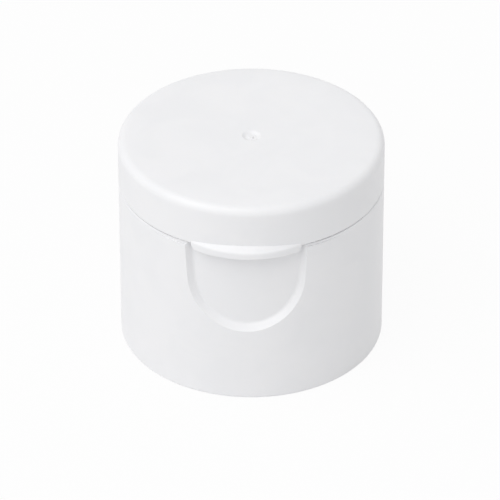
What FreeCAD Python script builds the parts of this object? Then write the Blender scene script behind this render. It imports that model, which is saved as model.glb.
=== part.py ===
# Flip top closure for a bottle with a 24 mm continuous thread neck.
# One moulding in polypropylene: a double-walled closure body with a spout, a snap lid
# with a thumb tab, and a hinge of two film webs with a spring strap between them.
# Units are millimetres. +Z is up, the closure stands on its mouth at z = 0, the thumb
# recess faces -Y and the hinge is at +Y.
import FreeCAD
import Part
import math
import os

Vector = FreeCAD.Vector

# Neck socket: the inside of the threaded skirt
thread_root_radius = 12.1
thread_height = 1.0
thread_pitch = 3.175
thread_turns = 1.75
thread_root_width = 2.2
thread_crest_width = 0.9
thread_start = 6.4
thread_bury = 0.25
lead_in_step = 0.3
lead_in_length = 2.0
mouth_chamfer = 0.3
neck_depth = 17.6
skirt_setback = 0.5
skirt_wall = 1.15

# Outer shell, the space between it and the skirt, and the ribs that bridge that space
skirt_gap = 1.05
shell_wall = 1.2
rim_round = 0.3
rib_count = 12
rib_thickness = 0.7
rib_clear_of_rim = 1.8

# Deck, seal ring that plugs the bottle's bore, and spout
deck_thickness = 1.3
deck_sink = 1.2
seal_ring_radius = 7.5
seal_ring_wall = 0.8
seal_ring_length = 2.9
seal_ring_taper = 0.25
seal_ring_lead = 1.0
spout_base_radius = 4.2
spout_lip_radius = 3.3
spout_foot_round = 1.0
spout_lip_round = 0.8
spout_height = 4.0
spout_wall = 1.2
orifice_radius = 1.6
orifice_length = 1.5
orifice_taper = 10.0
orifice_step = 0.4

# Land that carries the lid, and the collar that centres it
land_thickness = 1.2
land_round = 0.2
collar_gap = 0.45
collar_wall = 0.9
collar_height = 1.6

# Lid
lid_height = 5.8
lid_wall = 1.3
lid_top = 1.3
crown_run = 1.9
crown_slope = 6.0
crown_radius = 19.0
lid_edge_radius = 1.0
lid_corner_round = 0.8
shadow_gap = 0.12
shadow_gap_depth = 0.7
plug_clearance = 0.03
plug_reach = 0.2
plug_wall = 0.75
plug_core_clear = 0.7

# Gate dimple in the middle of the lid
dimple_radius = 1.1
dimple_floor_radius = 0.7
dimple_depth = 0.25
gate_radius = 0.32
gate_height = 0.14
gate_offset = 0.12

# Thumb recess in the front of the shell
recess_depth = 0.77
recess_half_angle = 22.69
recess_drop = 4.3
recess_draft = 3.0
recess_run_out = 0.05
recess_floor_round = 0.3

# Relief beside the recess, cut into the rim by an arc that runs out to nothing
relief_height = 0.35
relief_shift = 1.35
relief_half_angle = 42.0

# Thumb tab on the lid, a crescent that overhangs the recess
tab_reach = 0.8
tab_inset = 4.8
tab_hang = 0.68
tab_shoulder = 0.8
tab_slope = 37.3
tab_slope_inset = 4.2
tab_headroom = 4.0
tab_overlap = 0.35
tab_end_slant = 0.35
tab_thickness = 0.5
tab_edge_round = 0.16
tab_ridge_round = 0.3

# Snap beads behind the tab: one on the collar, one inside the lid
bead_half_angle = 20.0
bead_width = 0.5
bead_overlap = 0.15
bead_spacing = 0.05

# Hinge at the back
hinge_flat_depth = 0.8
hinge_flat_half_height = 3.0
hinge_flat_lead = 0.6
hinge_back_wall = 0.7
hinge_pad_half_width = 6.4
hinge_pad_drop = 4.2
film_width = 2.4
film_thickness = 0.3
film_offset = 0.12
film_leg = 0.2
strap_width = 3.6
strap_thickness = 0.35
strap_half_length = 1.4
strap_setback = 0.08
strap_bow = 0.4
strap_clearance = 0.2
hinge_slot = 0.6

# Roundings: inside corners, free edges and nearly sharp edges
corner_round = 0.4
edge_round = 0.25
fine_round = 0.1

# Small overlap that joins a fused feature to the wall it stands on
bury = 0.1

# Radii that follow from the neck outwards
lead_in_radius = thread_root_radius + lead_in_step
skirt_radius = thread_root_radius + skirt_wall
shell_inner_radius = skirt_radius + skirt_gap
shell_radius = shell_inner_radius + shell_wall
lid_inner_radius = shell_radius - lid_wall
collar_radius = lid_inner_radius - collar_gap
recess_floor_radius = shell_radius - recess_depth
recess_half_width = shell_radius * math.sin(math.radians(recess_half_angle))
recess_bevel = recess_depth / math.cos(math.radians(recess_half_angle)) + recess_run_out
tab_half_width = recess_half_width + tab_overlap
tab_plan_radius = shell_radius - tab_inset
tab_slope_radius = shell_radius - tab_slope_inset

# Heights that follow from the mouth upwards
deck_bottom = skirt_setback + neck_depth
deck_level = deck_bottom + deck_thickness
seam_level = deck_level + deck_sink
gap_ceiling = seam_level - land_thickness
collar_top = seam_level + collar_height
spout_top = deck_level + spout_height
orifice_bottom = spout_top - orifice_length
closure_height = seam_level + lid_height
lid_ceiling = closure_height - lid_top

# Snap beads overlap by a little when the lid lifts past the collar
bead_height = (collar_gap + bead_overlap) / 2

# Hinge planes and the line the film webs fold about
hinge_flat = shell_radius - hinge_flat_depth
hinge_line = hinge_flat + film_leg + film_offset + film_thickness
strap_back = hinge_flat - strap_setback - strap_thickness
window_back = strap_back - strap_clearance


def tangent_of(degrees):
    return math.tan(math.radians(degrees))


def rounded_wire(corners, place):
    """Closed wire through corners (u, v, radius), each corner rounded by its radius."""
    points = []
    for index, (u, v, radius) in enumerate(corners):
        before = corners[index - 1]
        after = corners[(index + 1) % len(corners)]
        corner = Vector(u, v, 0)
        back = (Vector(before[0], before[1], 0) - corner).normalize()
        ahead = (Vector(after[0], after[1], 0) - corner).normalize()
        if radius == 0:
            points.append((corner, None, corner))
            continue
        half = back.getAngle(ahead) / 2
        reach = radius / math.tan(half)
        middle = (back + ahead).normalize()
        centre = corner + middle * (radius / math.sin(half))
        points.append((corner + back * reach, centre - middle * radius, corner + ahead * reach))
    edges = []
    for index, (start, middle, end) in enumerate(points):
        if middle is not None:
            arc = Part.Arc(place(start), place(middle), place(end))
            edges.append(arc.toShape())
        following = points[(index + 1) % len(points)][0]
        if (following - end).Length > 1e-6:
            edges.append(Part.LineSegment(place(end), place(following)).toShape())
    return Part.Wire(edges)


def in_section(point):
    """Section or front view: radius or width across, height up."""
    return Vector(point.x, 0, point.y)


def in_side_view(point):
    """Side view drawing: depth across, height up."""
    return Vector(0, point.x, point.y)


def turned(corners, centre=0.0, angle=360.0):
    """Turn a section about the vertical axis at y = centre; a part turn is centred on -Y."""
    face = Part.Face(rounded_wire(corners, in_section))
    solid = face.revolve(Vector(0, 0, 0), Vector(0, 0, 1), angle)
    solid.rotate(Vector(0, 0, 0), Vector(0, 0, 1), -90 - angle / 2)
    solid.translate(Vector(0, centre, 0))
    return solid


def across_width(corners, left, right):
    """Side view outline drawn out along X."""
    face = Part.Face(rounded_wire(corners, in_side_view))
    face.translate(Vector(left, 0, 0))
    return face.extrude(Vector(right - left, 0, 0))


def block(x_low, x_high, y_low, y_high, z_low, z_high):
    size = Vector(x_high - x_low, y_high - y_low, z_high - z_low)
    return Part.makeBox(size.x, size.y, size.z, Vector(x_low, y_low, z_low))


def cylinder(radius, z_low, z_high, centre_y=0.0):
    return Part.makeCylinder(radius, z_high - z_low, Vector(0, centre_y, z_low))


def closure_section():
    """Half section of shell, skirt, deck, collar, spout and seal ring, as one outline."""
    orifice_top_radius = orifice_radius + orifice_length * tangent_of(orifice_taper)
    passage_radius = spout_base_radius - spout_wall
    seal_tip = deck_bottom - seal_ring_length
    outside = [
        (shell_radius, 0, rim_round),
        (shell_radius, seam_level, land_round),
        (collar_radius, seam_level, fine_round),
        (collar_radius, collar_top, edge_round),
        (collar_radius - collar_wall, collar_top, edge_round),
        (collar_radius - collar_wall, deck_level, corner_round),
    ]
    spout = [
        (spout_base_radius, deck_level, spout_foot_round),
        (spout_lip_radius, spout_top, spout_lip_round),
        (orifice_top_radius, spout_top, fine_round),
        (orifice_radius, orifice_bottom, fine_round),
        (orifice_radius + orifice_step, orifice_bottom - orifice_step, fine_round),
        (passage_radius, deck_bottom, corner_round),
    ]
    seal_ring = [
        (seal_ring_radius - seal_ring_wall, deck_bottom, corner_round),
        (seal_ring_radius - seal_ring_wall, seal_tip, fine_round),
        (seal_ring_radius - seal_ring_taper, seal_tip, edge_round),
        (seal_ring_radius, seal_tip + seal_ring_lead, corner_round),
        (seal_ring_radius, deck_bottom, corner_round),
    ]
    skirt = [
        (thread_root_radius, deck_bottom, corner_round),
        (thread_root_radius, skirt_setback + lead_in_length + lead_in_step, 0),
        (lead_in_radius, skirt_setback + lead_in_length, 0),
        (lead_in_radius, skirt_setback + mouth_chamfer, 0),
        (lead_in_radius + mouth_chamfer, skirt_setback, 0),
        (skirt_radius, skirt_setback, fine_round),
        (skirt_radius, gap_ceiling, edge_round),
        (shell_inner_radius, gap_ceiling, edge_round),
        (shell_inner_radius, 0, fine_round),
    ]
    return outside + spout + seal_ring + skirt


def neck_thread():
    """Right-hand helical bead that grips the bottle's thread."""
    radius = thread_root_radius + thread_bury
    height = thread_turns * thread_pitch
    path = Part.makeHelix(thread_pitch, height, radius)
    flank = (thread_root_width - thread_crest_width) / 2 / thread_height
    half_root = thread_root_width / 2 + flank * thread_bury
    half_crest = thread_crest_width / 2
    crest_radius = thread_root_radius - thread_height
    corners = [
        (radius, -half_root, 0),
        (radius, half_root, 0),
        (crest_radius, half_crest, edge_round),
        (crest_radius, -half_crest, edge_round),
    ]
    section = rounded_wire(corners, in_section)
    sweep = Part.BRepOffsetAPI.MakePipeShell(Part.Wire(path.Edges))
    sweep.setFrenetMode(True)
    sweep.add(section)
    sweep.build()
    sweep.makeSolid()
    thread = sweep.shape()
    thread.translate(Vector(0, 0, thread_start))
    return thread


def skirt_ribs():
    """Thin upright webs between the skirt and the shell."""
    web = block(
        skirt_radius - bury, shell_inner_radius + bury,
        -rib_thickness / 2, rib_thickness / 2,
        rib_clear_of_rim, gap_ceiling + bury,
    )
    ribs = []
    for index in range(rib_count):
        rib = web.copy()
        turn = 360.0 / rib_count * (index + 0.5)
        rib.rotate(Vector(0, 0, 0), Vector(0, 0, 1), turn)
        ribs.append(rib)
    return ribs


def recess_outline(grow):
    """U outline in front view: a round bottom and two sides that spread towards the seam."""
    radius = recess_half_width + grow
    middle = seam_level - recess_drop
    lean = math.radians(recess_draft)
    side_z = middle - radius * math.sin(lean)
    side_x = radius * math.cos(lean)
    top_z = seam_level + collar_height
    top_x = side_x + (top_z - side_z) * math.tan(lean)
    arc = Part.Arc(
        Vector(-side_x, 0, side_z), Vector(0, 0, middle - radius), Vector(side_x, 0, side_z)
    )
    edges = [
        Part.LineSegment(Vector(-top_x, 0, top_z), Vector(-side_x, 0, side_z)).toShape(),
        arc.toShape(),
        Part.LineSegment(Vector(side_x, 0, side_z), Vector(top_x, 0, top_z)).toShape(),
        Part.LineSegment(Vector(top_x, 0, top_z), Vector(-top_x, 0, top_z)).toShape(),
    ]
    return Part.Wire(edges)


def recess_prism(grow):
    face = Part.Face(recess_outline(grow))
    return face.extrude(Vector(0, -2 * shell_radius, 0))


def recess_backing():
    """Wall behind the recess, which keeps the shell's thickness where it steps inwards."""
    inner = recess_floor_radius - shell_wall
    ring = cylinder(shell_inner_radius + bury, 0, gap_ceiling + bury)
    ring = ring.cut(cylinder(inner, 0, gap_ceiling + bury))
    return ring.common(recess_prism(shell_wall))


def edges_on_cylinder(shape, radius):
    """Edges at the front that lie on a cylinder of this radius, apart from level ones."""
    found = []
    for edge in shape.Edges:
        first, last = edge.ParameterRange
        points = [edge.valueAt(first + (last - first) * step / 4) for step in range(5)]
        on_radius = all(abs(math.hypot(p.x, p.y) - radius) < 1e-3 for p in points)
        at_front = all(p.y < -radius / 2 for p in points)
        level = max(p.z for p in points) - min(p.z for p in points) < 1e-3
        if on_radius and at_front and not level:
            found.append(edge)
    return found


def thumb_recess():
    """Cutter for the recess, whose bevelled rim runs straight into its rounded floor."""
    inner = recess_floor_radius - shell_wall
    top = seam_level + collar_height
    ring = cylinder(shell_radius, 0, top).cut(cylinder(inner, 0, top))
    deep = cylinder(recess_floor_radius - recess_bevel / 2, 0, closure_height)
    bevelled = ring.cut(recess_prism(0).cut(deep))
    bevelled = bevelled.makeChamfer(recess_bevel, edges_on_cylinder(bevelled, shell_radius))
    pocket = ring.cut(bevelled).cut(cylinder(recess_floor_radius, 0, closure_height))
    recessed = ring.cut(pocket)
    floor_edges = edges_on_cylinder(recessed, recess_floor_radius)
    recessed = recessed.makeFillet(recess_floor_round, floor_edges)
    return ring.cut(recessed)


def rim_relief():
    """Shallow crescent beside the recess, deepest at its corners."""
    cosine = math.cos(math.radians(relief_half_angle))
    radius = shell_radius + relief_shift * cosine
    low = seam_level - relief_height
    high = seam_level + bury
    ring = cylinder(shell_radius + 1, low, high).cut(cylinder(radius, low, high, relief_shift))
    front = block(-shell_radius, shell_radius, -2 * shell_radius, 0, low, high)
    return ring.common(front)


def hinge_flat_cutter():
    """Chord cut across the back, with sloped ends, on both sides of the seam."""
    outer = shell_radius + 1
    lead = hinge_flat_lead * (outer - hinge_flat) / hinge_flat_depth
    corners = [
        (hinge_flat, seam_level - hinge_flat_half_height, 0),
        (outer, seam_level - hinge_flat_half_height - lead, 0),
        (outer, seam_level + hinge_flat_half_height + lead, 0),
        (hinge_flat, seam_level + hinge_flat_half_height, 0),
    ]
    return across_width(corners, -shell_radius, shell_radius)


def strap_window(back):
    """Opening that the spring strap stands in, half in the shell and half in the lid."""
    half = strap_width / 2 + strap_clearance
    return block(
        -half, half, back, shell_radius + 1,
        seam_level - strap_half_length, seam_level + strap_half_length,
    )


def closure_body():
    body = turned(closure_section())
    hinge_pad = block(
        -hinge_pad_half_width, hinge_pad_half_width,
        0, shell_radius,
        seam_level - hinge_pad_drop, gap_ceiling + bury,
    )
    gap_ring = cylinder(shell_inner_radius + bury, 0, gap_ceiling + bury)
    gap_ring = gap_ring.cut(cylinder(skirt_radius - bury, 0, gap_ceiling + bury))
    additions = skirt_ribs()
    additions.append(recess_backing())
    additions.append(hinge_pad.common(gap_ring))
    additions.append(collar_bead())
    body = body.fuse(additions).removeSplitter()
    back_of_collar = block(
        -shell_radius, shell_radius,
        window_back - collar_gap, shell_radius,
        seam_level, collar_top + 1,
    )
    body = body.cut([thumb_recess(), rim_relief(), back_of_collar])
    body = body.cut([hinge_flat_cutter(), strap_window(window_back)])
    body = body.fuse(neck_thread())
    return body


def bead_section(wall_radius, middle, side):
    """Small rounded bump on a wall; side is +1 outwards and -1 inwards."""
    return [
        (wall_radius - side * bury, middle - bead_width / 2, 0),
        (wall_radius, middle - bead_width / 2, 0),
        (wall_radius + side * bead_height, middle, bead_width / 4),
        (wall_radius, middle + bead_width / 2, 0),
        (wall_radius - side * bury, middle + bead_width / 2, 0),
    ]


def collar_bead():
    middle = collar_top - bead_width
    return turned(bead_section(collar_radius, middle, 1), 0.0, 2 * bead_half_angle)


def lid_bead():
    middle = collar_top - 2 * bead_width - bead_spacing
    return turned(bead_section(lid_inner_radius, middle, -1), 0.0, 2 * bead_half_angle)


def plug_radius(level):
    """Radius of the lid's plug at a level, following the taper of the orifice."""
    return orifice_radius - plug_clearance + (level - orifice_bottom) * tangent_of(orifice_taper)


def lid_section():
    """Half section of the lid, with its crown, gate dimple and hollow plug."""
    crown_drop = crown_run * tangent_of(crown_slope)
    plug_tip = orifice_bottom - plug_reach
    rim_level = seam_level + shadow_gap
    step_radius = shell_radius - shadow_gap_depth
    core_top = lid_ceiling - plug_core_clear
    return [
        (0, closure_height - dimple_depth, 0),
        (dimple_floor_radius, closure_height - dimple_depth, edge_round),
        (dimple_radius, closure_height, fine_round),
        (shell_radius - crown_run, closure_height, crown_radius),
        (shell_radius, closure_height - crown_drop, lid_edge_radius),
        (shell_radius, rim_level, fine_round),
        (step_radius, rim_level, 0),
        (step_radius, seam_level, 0),
        (lid_inner_radius, seam_level, fine_round),
        (lid_inner_radius, lid_ceiling, lid_corner_round),
        (plug_radius(lid_ceiling), lid_ceiling, edge_round),
        (plug_radius(plug_tip), plug_tip, edge_round),
        (plug_radius(plug_tip) - plug_wall, plug_tip, fine_round),
        (plug_radius(core_top) - plug_wall, core_top, edge_round),
        (0, core_top, 0),
    ]


def is_ridge(edge, centre):
    """Whether an edge is the one where the tab's sloped top meets its front face."""
    start, end = edge.ParameterRange
    points = [edge.valueAt(start + (end - start) * step / 4) for step in range(5)]
    on_front = all(abs(math.hypot(p.x, p.y - centre) - tab_plan_radius) < 1e-3 for p in points)
    return on_front and max(p.z for p in points) - min(p.z for p in points) > tab_reach / 2


def thumb_tab():
    """Crescent lip: a disc under a sloped top, set forward of the lid and trimmed at its ends."""
    centre = -(shell_radius + tab_reach - tab_plan_radius)
    low = seam_level - tab_hang
    high = seam_level + tab_headroom
    disc = turned([
        (0, low, 0),
        (tab_plan_radius, low, tab_edge_round),
        (tab_plan_radius, high, 0),
        (0, high, 0),
    ], centre)
    shoulder = seam_level + tab_shoulder
    fall = (tab_slope_radius + tab_reach) * tangent_of(tab_slope)
    slope = turned([
        (0, low - fall, 0),
        (2 * tab_slope_radius + tab_reach, low - fall, 0),
        (2 * tab_slope_radius + tab_reach, shoulder - fall, 0),
        (0, shoulder + tab_slope_radius * tangent_of(tab_slope), 0),
    ], tab_slope_radius - shell_radius)
    lip = disc.common(slope)
    ridge = [edge for edge in lip.Edges if is_ridge(edge, centre)]
    lip = lip.makeFillet(tab_ridge_round, ridge)
    ends = [
        (-tab_half_width + tab_end_slant, low, edge_round),
        (tab_half_width - tab_end_slant, low, edge_round),
        (tab_half_width, seam_level, 0),
        (tab_half_width, high, 0),
        (-tab_half_width, high, 0),
        (-tab_half_width, seam_level, 0),
    ]
    trim = Part.Face(rounded_wire(ends, in_section)).extrude(Vector(0, -2 * shell_radius, 0))
    return lip.common(trim).cut(cylinder(shell_radius - tab_thickness, 0, closure_height))


def gate_mark():
    """Stub left by the injection gate, a little off the middle of the dimple."""
    low = closure_height - dimple_depth - bury
    height = gate_height + bury
    return Part.makeCone(gate_radius, gate_radius * 0.7, height, Vector(0, -gate_offset, low))


def flip_lid():
    lid = turned(lid_section())
    back_wall = block(
        -hinge_pad_half_width, hinge_pad_half_width,
        hinge_flat - hinge_back_wall, shell_radius,
        seam_level, lid_ceiling + bury,
    )
    back_wall = back_wall.common(cylinder(lid_inner_radius + bury, seam_level, closure_height))
    lid = lid.fuse([back_wall, thumb_tab(), gate_mark(), lid_bead()]).removeSplitter()
    window = strap_window(hinge_flat - hinge_back_wall - bury)
    return lid.cut([hinge_flat_cutter(), window])


def hinge_film(side):
    """Film web beside the strap, folded into a short hairpin while the lid is shut."""
    inner = film_offset
    outer = film_offset + film_thickness
    bend = hinge_flat + film_leg
    lower = [
        Vector(0, hinge_flat, seam_level - outer),
        Vector(0, bend, seam_level - outer),
        Vector(0, bend, seam_level - inner),
        Vector(0, hinge_flat, seam_level - inner),
    ]
    upper = [Vector(0, p.y, 2 * seam_level - p.z) for p in lower]
    outer_arc = Part.Arc(lower[1], Vector(0, bend + outer, seam_level), upper[1])
    inner_arc = Part.Arc(upper[2], Vector(0, bend + inner, seam_level), lower[2])
    edges = [
        Part.LineSegment(lower[0], lower[1]).toShape(),
        outer_arc.toShape(),
        Part.LineSegment(upper[1], upper[0]).toShape(),
        Part.LineSegment(upper[0], upper[3]).toShape(),
        Part.LineSegment(upper[3], upper[2]).toShape(),
        inner_arc.toShape(),
        Part.LineSegment(lower[2], lower[3]).toShape(),
        Part.LineSegment(lower[3], lower[0]).toShape(),
    ]
    film = Part.Face(Part.Wire(edges)).extrude(Vector(film_width, 0, 0))
    start = strap_width / 2 + hinge_slot
    if side < 0:
        start = -start - film_width
    film.translate(Vector(start, 0, 0))
    return film


def hinge_spring_strap():
    """Band inboard of the hinge line, bowed a little outwards, which snaps the lid over."""
    bend_radius = (strap_half_length ** 2 + strap_bow ** 2) / (2 * strap_bow)
    centre = strap_back + strap_bow - bend_radius
    low = seam_level - strap_half_length
    high = seam_level + strap_half_length
    edges = []
    ends = []
    for radius in (bend_radius, bend_radius + strap_thickness):
        end_y = centre + math.sqrt(radius ** 2 - strap_half_length ** 2)
        start, end = Vector(0, end_y, low), Vector(0, end_y, high)
        edges.append(Part.Arc(start, Vector(0, centre + radius, seam_level), end).toShape())
        ends.append((start, end))
    for end_index in (0, 1):
        edges.append(Part.LineSegment(ends[0][end_index], ends[1][end_index]).toShape())
    section = Part.Wire(Part.__sortEdges__(edges))
    strap = Part.Face(section).extrude(Vector(strap_width, 0, 0))
    strap.translate(Vector(-strap_width / 2, 0, 0))
    return strap


def main():
    os.makedirs("parts", exist_ok=True)
    nodes = {
        "closure_body": closure_body(),
        "flip_lid": flip_lid(),
        "hinge_film_left": hinge_film(-1),
        "hinge_film_right": hinge_film(1),
        "hinge_spring_strap": hinge_spring_strap(),
    }
    for name, shape in nodes.items():
        shape.exportStep("parts/" + name + ".step")
        box = shape.BoundBox
        print(
            name, "solids", len(shape.Solids), "valid", shape.isValid(),
            "volume", round(shape.Volume, 2), "mm3, z", round(box.ZMin, 3), "to", round(box.ZMax, 3),
        )
    print("hinge line at y", round(hinge_line, 3), "and z", round(seam_level, 3))


main()
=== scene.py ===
import bpy
import bmesh
import math
from mathutils import Matrix, Vector


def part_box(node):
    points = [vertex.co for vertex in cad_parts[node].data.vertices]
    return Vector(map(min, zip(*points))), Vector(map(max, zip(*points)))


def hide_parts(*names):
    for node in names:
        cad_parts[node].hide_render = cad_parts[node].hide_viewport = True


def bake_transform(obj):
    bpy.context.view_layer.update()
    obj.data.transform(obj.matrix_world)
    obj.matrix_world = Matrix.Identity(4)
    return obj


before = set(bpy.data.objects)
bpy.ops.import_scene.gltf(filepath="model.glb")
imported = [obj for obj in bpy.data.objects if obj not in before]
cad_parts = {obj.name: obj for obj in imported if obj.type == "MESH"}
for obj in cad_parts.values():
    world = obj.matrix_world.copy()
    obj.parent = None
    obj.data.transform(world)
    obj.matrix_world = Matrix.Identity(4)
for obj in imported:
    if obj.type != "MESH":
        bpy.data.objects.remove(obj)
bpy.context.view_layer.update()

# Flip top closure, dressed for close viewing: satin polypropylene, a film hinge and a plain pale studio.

mm = 0.001
tiny = 0.001 * mm  # closer than this counts as the same place


# A socket that can be written into sums, so that each sum adds its own Math nodes

class Wire:
    def __init__(self, material, socket):
        self.material = material
        self.socket = socket

    def maths(self, operation, first, second):
        return self.material.node("ShaderNodeMath", {"operation": operation}, {0: first, 1: second})

    def beside(self, output):
        return Wire(self.material, self.socket.node.outputs[output])  # another output of the same node

    def __add__(self, other):
        return self.maths("ADD", self, other)

    def __radd__(self, other):
        return self.maths("ADD", other, self)

    def __sub__(self, other):
        return self.maths("SUBTRACT", self, other)

    def __rsub__(self, other):
        return self.maths("SUBTRACT", other, self)

    def __mul__(self, other):
        return self.maths("MULTIPLY", self, other)

    def __rmul__(self, other):
        return self.maths("MULTIPLY", other, self)

    def __pow__(self, other):
        return self.maths("POWER", self, other)


# A material, or the world, with one method for all its nodes

class NodeMaterial:
    def __init__(self, name, world=None):
        self.owner = world or bpy.data.materials.new(name)
        self.owner.use_nodes = True
        self.tree = self.owner.node_tree
        self.tree.nodes.clear()

    def node(self, kind, settings=None, inputs=None, output=0):
        made = self.tree.nodes.new(kind)
        for key, value in (settings or {}).items():
            setattr(made, key, value)
        for key, value in (inputs or {}).items():
            if isinstance(value, Wire):
                self.tree.links.new(value.socket, made.inputs[key])
            else:
                made.inputs[key].default_value = value
        return Wire(self, made.outputs[output]) if made.outputs else None  # an output node has none


# Satin polypropylene of the body and the lid

satin = {
    "colour": (0.872, 0.872, 0.886, 1),
    "deepColour": (0.852, 0.854, 0.870, 1),
    "roughness": 0.36,
    "roughnessSpread": 0.05,
    "specularLevel": 0.45,
    "refraction": 1.49,
    "scatter": 0.10,
    "scatterDepth": 0.5 * mm,
    "scatterRadius": (1.0, 0.95, 0.9),
    "grain": {"size": 0.11 * mm, "detail": 3.0, "roughness": 0.55, "distortion": 0.0},
    "grainDepth": 0.0022 * mm,
    "wave": {"size": 3.2 * mm, "detail": 1.5, "roughness": 0.4, "distortion": 0.0},
    "waveDepth": 0.006 * mm,
    "cloud": {"size": 6.5 * mm, "detail": 4.0, "roughness": 0.5, "distortion": 0.6},
    "cloudLow": 0.35,  # noise below this is all the deep colour
    "cloudHigh": 0.68,  # and above this all the plain one
    "blushInner": 0.7 * mm,  # duller ring left round the moulding gate
    "blushOuter": 3.4 * mm,
    "blushRoughness": 0.06,
    "edgeRound": 0.07 * mm,
    "edgeSamples": 4,
}


def noiseAt(material, place, noise):
    return material.node(
        "ShaderNodeTexNoise", {"noise_dimensions": "3D"},
        {
            "Vector": place, "Scale": 1 / noise["size"], "Detail": noise["detail"],
            "Roughness": noise["roughness"], "Distortion": noise["distortion"],
        },
    )


def satinPlastic(name, look, gated=False):
    material = NodeMaterial(name)
    place = material.node("ShaderNodeTexCoord", output="Object")
    grain = noiseAt(material, place, look["grain"])
    wave = noiseAt(material, place, look["wave"])
    cloud = noiseAt(material, place, look["cloud"])
    tone = material.node(
        "ShaderNodeMapRange", {"interpolation_type": "SMOOTHSTEP"},
        {
            "Value": cloud, "From Min": look["cloudLow"], "From Max": look["cloudHigh"],
            "To Min": 0.0, "To Max": 1.0,
        },
    )
    colour = material.node(
        "ShaderNodeMix", {"data_type": "RGBA"},
        {"Factor": tone, "A": look["deepColour"], "B": look["colour"]}, output="Result",
    )
    spread = look["roughnessSpread"]
    roughness = look["roughness"] + (cloud - 0.5) * spread + (grain - 0.5) * spread
    height = (grain - 0.5) * look["grainDepth"] + (wave - 0.5) * look["waveDepth"]
    if gated:
        split = material.node("ShaderNodeSeparateXYZ", {}, {"Vector": place})
        across, along = split.beside("X"), split.beside("Y")
        radius = (across * across + along * along) ** 0.5
        blush = material.node(
            "ShaderNodeMapRange", {"interpolation_type": "SMOOTHERSTEP"},
            {
                "Value": radius, "From Min": look["blushInner"], "From Max": look["blushOuter"],
                "To Min": 1.0, "To Max": 0.0,
            },
        )
        roughness = roughness + blush * look["blushRoughness"]
    softened = material.node(
        "ShaderNodeBevel", {"samples": look["edgeSamples"]}, {"Radius": look["edgeRound"]},
    )
    bump = material.node(
        "ShaderNodeBump", {},
        {"Height": height, "Distance": 1.0, "Strength": 1.0, "Normal": softened},
    )
    surface = material.node(
        "ShaderNodeBsdfPrincipled", {"subsurface_method": "RANDOM_WALK"},
        {
            "Base Color": colour, "Roughness": roughness, "Normal": bump,
            "Specular IOR Level": look["specularLevel"], "IOR": look["refraction"],
            "Subsurface Weight": look["scatter"], "Subsurface Scale": look["scatterDepth"],
            "Subsurface Radius": look["scatterRadius"],
        },
    )
    material.node("ShaderNodeOutputMaterial", {}, {"Surface": surface})
    return material.owner


dressed = {
    "closure_body": satinPlastic("satinBody", satin),
    "flip_lid": satinPlastic("satinLid", satin, gated=True),
}
for nodeName, plastic in dressed.items():
    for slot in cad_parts[nodeName].material_slots:
        slot.material = plastic
print("plastic given to the closure body and the lid")


# Hinge of two folded film webs and a bowed spring strap

hinge = {
    "flat": 14.7 * mm,  # the flat at the back that the hinge grows from
    "seam": 20.6 * mm,
    "sharpAngle": 60.0,
    "edgeSteps": 3,
}

film = {
    "inside": 2.4 * mm,  # where a web starts, from the middle
    "width": 2.4 * mm,
    "offset": 0.12 * mm,  # from the seam to the inside of the fold
    "thickness": 0.30 * mm,
    "leg": 0.20 * mm,
    "plainShare": 0.55,  # share of a leg that keeps its width before it flares
    "root": 0.06 * mm,  # how far a web runs into the wall
    "flare": 1.07,
    "waist": 0.90,
    "edgeRound": 0.045 * mm,
    "bendSteps": 18,
}

strap = {
    "width": 3.6 * mm,
    "thickness": 0.35 * mm,
    "halfLength": 1.4 * mm,
    "bow": 0.40 * mm,
    "waist": 0.80,
    "bendShare": 0.6,  # share of its length that bends as the lid opens
    "edgeRound": 0.06 * mm,
    "steps": 20,
}

# Folded film is finer, and lets more light through
hingeLook = {**satin, "scatter": 0.35, "roughness": 0.30, "grainDepth": 0.001 * mm}
hingePlastic = satinPlastic("foldedFilm", hingeLook)


def isSharp(edge):
    return len(edge.link_faces) == 2 and edge.calc_face_angle(0) > math.radians(hinge["sharpAngle"])


def roundOff(bm, edges, radius):
    bmesh.ops.bevel(
        bm, geom=edges, offset=radius, offset_type="OFFSET", affect="EDGES",
        segments=hinge["edgeSteps"], profile=0.5, material=-1, clamp_overlap=True,
    )


def finishPiece(bm, name):
    bmesh.ops.remove_doubles(bm, verts=bm.verts, dist=tiny)
    bmesh.ops.recalc_face_normals(bm, faces=bm.faces)
    for face in bm.faces:
        face.smooth = True
    mesh = bpy.data.meshes.new(name)
    bm.to_mesh(mesh)
    bm.free()
    piece = bpy.data.objects.new(name, mesh)
    bpy.context.collection.objects.link(piece)
    mesh.materials.append(hingePlastic)
    return piece


# Draws a web's end face out towards the wall, wider or narrower as it goes
def pullFace(bm, cap, vector, grow):
    grown = bmesh.ops.extrude_face_region(bm, geom=[cap])
    if cap.is_valid:
        bmesh.ops.delete(bm, geom=[cap], context="FACES_ONLY")
    far = [item for item in grown["geom"] if isinstance(item, bmesh.types.BMFace)][0]
    bmesh.ops.translate(bm, verts=far.verts, vec=vector)
    middle = Matrix.Translation(-far.calc_center_median())
    bmesh.ops.scale(bm, vec=(grow, 1, grow), space=middle, verts=far.verts)
    return far


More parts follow.
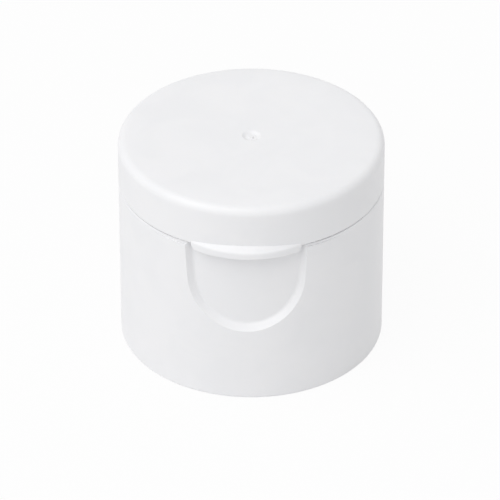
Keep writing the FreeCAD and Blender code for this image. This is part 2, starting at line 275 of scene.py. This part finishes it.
def buildFilm(name, side):
    bm = bmesh.new()
    middle = side * (film["inside"] + film["width"] / 2)
    centre = Vector((middle, hinge["flat"] + film["leg"], hinge["seam"]))
    across = Matrix.Diagonal((film["width"] / 2, film["thickness"] / 2, 1, 1))
    upright = Matrix.Rotation(math.radians(90), 4, "X")
    below = Matrix.Translation(centre - Vector((0, 0, film["offset"] + film["thickness"] / 2)))
    bmesh.ops.create_grid(bm, x_segments=1, y_segments=1, size=1.0, matrix=below @ upright @ across)
    bmesh.ops.spin(
        bm, geom=bm.faces[:] + bm.edges[:] + bm.verts[:], cent=centre, axis=(1, 0, 0),
        angle=math.radians(180), steps=film["bendSteps"], use_merge=False, use_duplicate=False,
    )
    caps = [face for face in bm.faces if all(abs(v.co.y - centre.y) < tiny for v in face.verts)]
    plain = film["plainShare"] * film["leg"]
    for cap in caps:
        leg = pullFace(bm, cap, (0, -plain, 0), 1.0)
        pullFace(bm, leg, (0, plain - film["leg"] - film["root"], 0), film["flare"])
    for vert in bm.verts:
        near = (vert.co.y - centre.y) / (film["offset"] + film["thickness"])  # 0 at the legs, 1 at the fold
        vert.co.x = middle + (vert.co.x - middle) * (1 - (1 - film["waist"]) * min(1.0, max(0.0, near)))
    roundOff(bm, [edge for edge in bm.edges if isSharp(edge)], film["edgeRound"])
    return finishPiece(bm, name)


def buildStrap():
    bm = bmesh.new()
    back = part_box("hinge_spring_strap")[0][1]
    size = Matrix.Diagonal((strap["width"], strap["thickness"], 2 * strap["halfLength"], 1))
    place = Matrix.Translation((0, back + strap["thickness"] / 2, hinge["seam"]))
    bmesh.ops.create_cube(bm, size=1.0, matrix=place @ size)
    upright = [e for e in bm.edges if abs(e.verts[0].co.z - e.verts[1].co.z) > strap["halfLength"]]
    bmesh.ops.subdivide_edges(bm, edges=upright, cuts=strap["steps"] - 1, use_grid_fill=True)
    corners = [
        e for e in bm.edges
        if isSharp(e) and (e.verts[0].co.xy - e.verts[1].co.xy).length < tiny
    ]
    roundOff(bm, corners, strap["edgeRound"])
    bend = (strap["halfLength"] ** 2 + strap["bow"] ** 2) / (2 * strap["bow"])  # radius of the bow
    for vert in bm.verts:
        rise = vert.co.z - hinge["seam"]
        depth = math.sqrt(bend ** 2 - min(abs(rise), strap["halfLength"]) ** 2)
        vert.co.y += depth - (bend - strap["bow"])
        pinch = math.cos(rise / strap["halfLength"] * math.pi / 2) ** 2
        vert.co.x *= 1 - (1 - strap["waist"]) * pinch
    return finishPiece(bm, "hingeStrap")


# A hinge piece's placing is baked into its mesh
def bendAtSeam(piece):
    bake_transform(piece)


for side, word in ((-1, "left"), (1, "right")):
    web = buildFilm("hingeFilm" + word.capitalize(), side)
    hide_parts("hinge_film_" + word)
    bendAtSeam(web)
spring = buildStrap()
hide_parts("hinge_spring_strap")
bendAtSeam(spring)
print("hinge webs and strap built")


# Studio

studio = {
    "worldLevel": 0.705,
    "backdropLevel": 0.99,
    "floorColour": (0.81, 0.81, 0.81, 1),
    "floorGlow": 0.93,
    "floorSize": 6.0,
    "keyPower": 4.1,
    "keySize": 0.85,
    "keyDistance": 0.95,
    "keyTurn": -47.0,
    "keyHeight": 51.5,
    "keyAim": (0, 0, 12 * mm),
}


def directionOf(turn, height):
    turn, height = math.radians(turn), math.radians(height)
    return Vector((math.sin(turn) * math.cos(height), -math.cos(turn) * math.cos(height), math.sin(height)))


# 1 for what the camera sees, straight or in a reflection, and 0 for the light that falls on the object
def seenByCamera(material):
    path = material.node("ShaderNodeLightPath")
    mirrored = path.maths("MAXIMUM", path.beside("Is Glossy Ray"), path.beside("Is Transmission Ray"))
    return path.maths("MAXIMUM", path.beside("Is Camera Ray"), mirrored)


def buildFloor():
    bm = bmesh.new()
    bmesh.ops.create_grid(bm, x_segments=1, y_segments=1, size=studio["floorSize"] / 2)
    mesh = bpy.data.meshes.new("studioFloor")
    bm.to_mesh(mesh)
    bm.free()
    floor = bpy.data.objects.new("studioFloor", mesh)
    bpy.context.collection.objects.link(floor)
    material = NodeMaterial("paleFloor")
    seen = seenByCamera(material)
    glow = material.node("ShaderNodeEmission", {}, {"Color": (1, 1, 1, 1), "Strength": 1.0})
    matt = material.node("ShaderNodeBsdfDiffuse", {}, {"Color": studio["floorColour"]})
    mixed = material.node("ShaderNodeMixShader", {}, {0: seen * studio["floorGlow"], 1: matt, 2: glow})
    material.node("ShaderNodeOutputMaterial", {}, {"Surface": mixed})
    mesh.materials.append(material.owner)


def buildWorld():
    world = bpy.data.worlds.new("studioWorld")
    bpy.context.scene.world = world
    material = NodeMaterial("studioWorld", world)
    seen = seenByCamera(material)
    level = studio["worldLevel"] + seen * (studio["backdropLevel"] - studio["worldLevel"])
    light = material.node("ShaderNodeBackground", {}, {"Color": (1, 1, 1, 1), "Strength": level})
    material.node("ShaderNodeOutputWorld", {}, {"Surface": light})


def buildKey():
    lamp = bpy.data.lights.new("softKey", "AREA")
    lamp.shape = "SQUARE"
    lamp.size = studio["keySize"]
    lamp.energy = studio["keyPower"]
    key = bpy.data.objects.new("softKey", lamp)
    bpy.context.collection.objects.link(key)
    aim = directionOf(studio["keyTurn"], studio["keyHeight"])
    key.location = Vector(studio["keyAim"]) + aim * studio["keyDistance"]
    key.rotation_euler = aim.to_track_quat("Z", "Y").to_euler()


view = {
    "aim": (-0.172 * mm, 0.0, 10.32 * mm),
    "turn": 2.45,
    "height": 34.21,
    "distance": 0.5414,
    "roll": -0.10,
    "lens": 330.5,
    "sensor": 36,
    "clipStart": 0.01,
    "clipEnd": 50,
}


def buildCamera():
    lens = bpy.data.cameras.new("productCamera")
    lens.lens = view["lens"]
    lens.sensor_width = view["sensor"]
    lens.clip_start = view["clipStart"]
    lens.clip_end = view["clipEnd"]
    camera = bpy.data.objects.new("productCamera", lens)
    bpy.context.collection.objects.link(camera)
    out = directionOf(view["turn"], view["height"])
    camera.location = Vector(view["aim"]) + out * view["distance"]
    turned = out.to_track_quat("Z", "Y").to_matrix() @ Matrix.Rotation(math.radians(view["roll"]), 3, "Z")
    camera.rotation_euler = turned.to_euler()
    bpy.context.scene.camera = camera


buildFloor()
buildWorld()
buildKey()
buildCamera()
bpy.context.scene.view_settings.view_transform = "Standard"
print("studio built")
